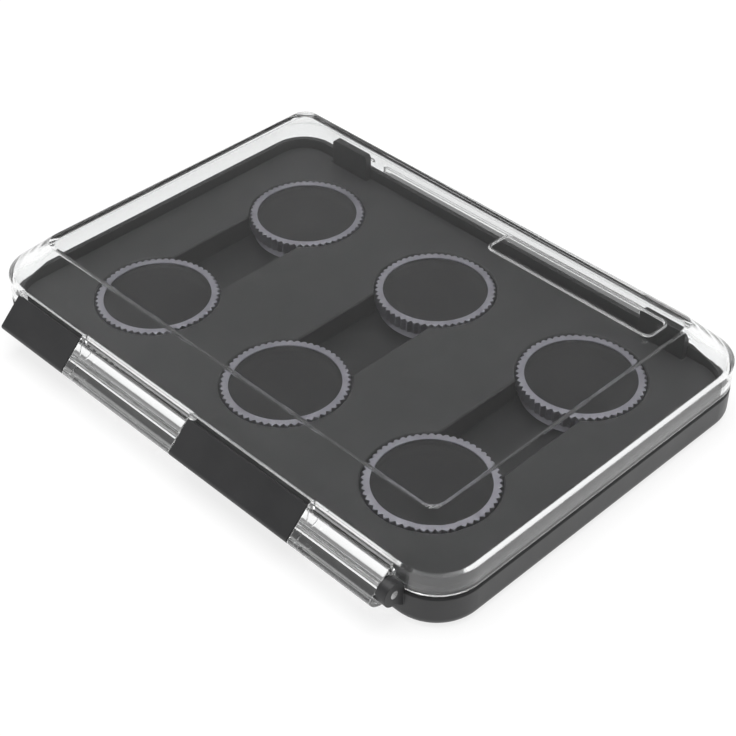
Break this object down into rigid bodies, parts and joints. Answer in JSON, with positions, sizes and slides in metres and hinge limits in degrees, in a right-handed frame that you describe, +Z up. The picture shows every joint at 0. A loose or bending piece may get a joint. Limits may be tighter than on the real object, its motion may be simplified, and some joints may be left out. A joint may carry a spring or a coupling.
{
  "type": "filter storage case",
  "caption": "Flat hinged storage case with a black base, a tall clear lid and a grid of round knurled eyepiece filters in an insert plate.",
  "frame": {"origin": "centre of the case's underside, midway across tray and lid without the hinge and the finger tab", "axes": "+X along the hinge, +Y from the hinge side to the opening side, +Z up through the lid's window"},
  "size_m": [0.154, 0.1167, 0.0248],
  "materials": {
    "tray_plastic": "satin black moulding",
    "insert_plastic": "fine-grained black",
    "clear_plastic": "clear, polished",
    "pin_steel": "drawn wire",
    "anodised_cell": "satin anodised, grey with a lilac tint",
    "filter_glass": "dark, polished, coated",
    "ring_black": "black anodised"
  },
  "bodies": {
    "tray": {"base_tray": "tray_plastic", "insert_plate": "insert_plastic", "hinge_pin": "pin_steel"},
    "lid": {"clear_lid": "clear_plastic"},
    "filter_1": {"filter_1_cell": "anodised_cell", "filter_1_glass": "filter_glass", "filter_1_retaining_ring": "ring_black"},
    "filter_2": {"filter_2_cell": "anodised_cell", "filter_2_glass": "filter_glass", "filter_2_retaining_ring": "ring_black"},
    "filter_3": {"filter_3_cell": "anodised_cell", "filter_3_glass": "filter_glass", "filter_3_retaining_ring": "ring_black"},
    "filter_4": {"filter_4_cell": "anodised_cell", "filter_4_glass": "filter_glass", "filter_4_retaining_ring": "ring_black"},
    "filter_5": {"filter_5_cell": "anodised_cell", "filter_5_glass": "filter_glass", "filter_5_retaining_ring": "ring_black"},
    "filter_6": {"filter_6_cell": "anodised_cell", "filter_6_glass": "filter_glass", "filter_6_retaining_ring": "ring_black"}
  },
  "joints": [
    {"name": "lid_hinge", "type": "hinge", "parent": "tray", "child": "lid", "pos_m": [0, -0.0562, 0.0096], "axis": [1, 0, 0], "range_deg": [0, 150]},
    {"name": "filter_1_lift", "type": "slide", "parent": "tray", "child": "filter_1", "axis": [0, 0, 1], "range_m": [0, 0.012]},
    {"name": "filter_2_lift", "type": "slide", "parent": "tray", "child": "filter_2", "axis": [0, 0, 1], "range_m": [0, 0.012]},
    {"name": "filter_3_lift", "type": "slide", "parent": "tray", "child": "filter_3", "axis": [0, 0, 1], "range_m": [0, 0.012]},
    {"name": "filter_4_lift", "type": "slide", "parent": "tray", "child": "filter_4", "axis": [0, 0, 1], "range_m": [0, 0.012]},
    {"name": "filter_5_lift", "type": "slide", "parent": "tray", "child": "filter_5", "axis": [0, 0, 1], "range_m": [0, 0.012]},
    {"name": "filter_6_lift", "type": "slide", "parent": "tray", "child": "filter_6", "axis": [0, 0, 1], "range_m": [0, 0.012]}
  ]
}
